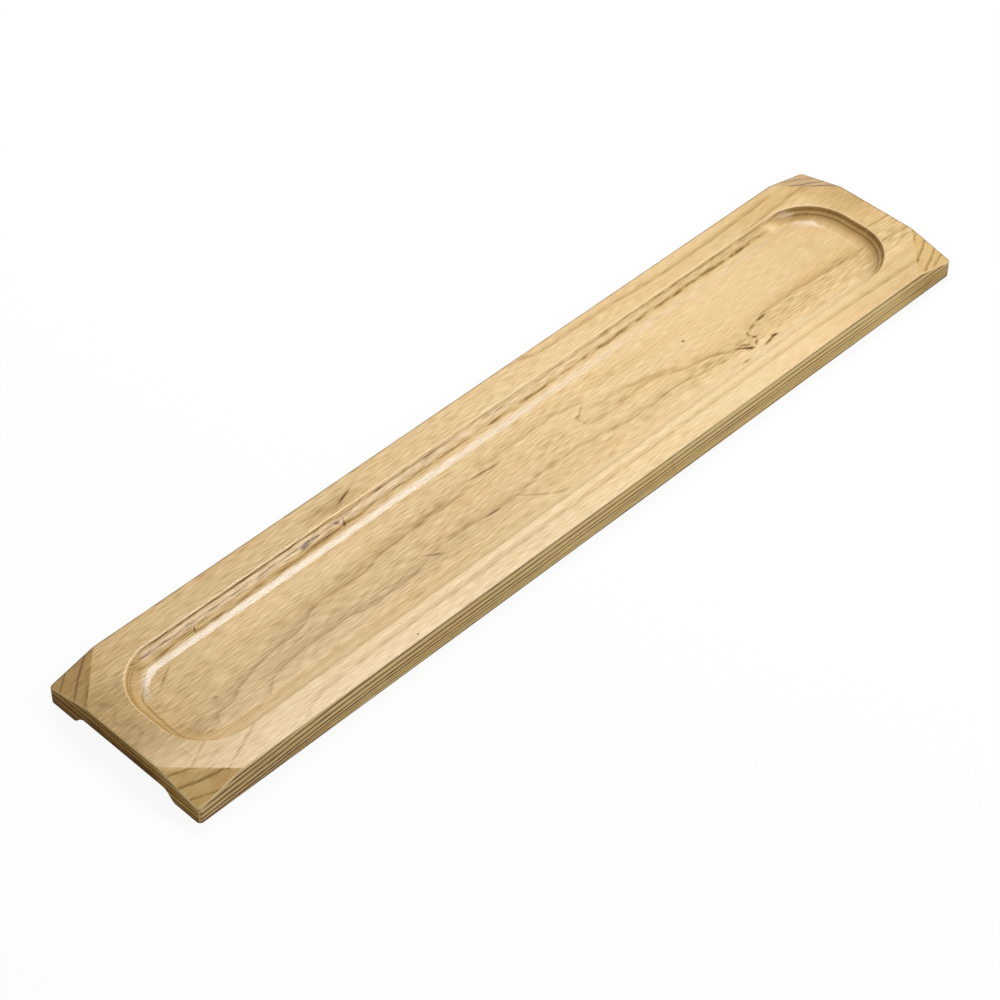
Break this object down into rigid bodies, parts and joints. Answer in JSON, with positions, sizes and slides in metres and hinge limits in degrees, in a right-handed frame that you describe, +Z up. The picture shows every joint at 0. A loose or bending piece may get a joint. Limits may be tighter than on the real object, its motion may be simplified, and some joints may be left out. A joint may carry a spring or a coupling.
{
  "type": "wooden serving tray",
  "caption": "Long narrow wooden serving tray with a round-ended coved recess, faceted top corners and a channel underneath that leaves two long feet.",
  "frame": {"origin": "on the surface the feet stand on, below the middle of the board", "axes": "+X along the tray, +Y across it towards the back stave, +Z up out of the recess"},
  "size_m": [0.505, 0.1, 0.016],
  "materials": {
    "front_wood": "clear satin finish on pale straight-grained wood",
    "middle_wood": "clear satin finish on pale figured wood with a small knot",
    "back_wood": "clear satin finish on pale fine-grained wood"
  },
  "bodies": {
    "root": {"front_stave": "front_wood", "middle_stave": "middle_wood", "back_stave": "back_wood"}
  },
  "joints": []
}
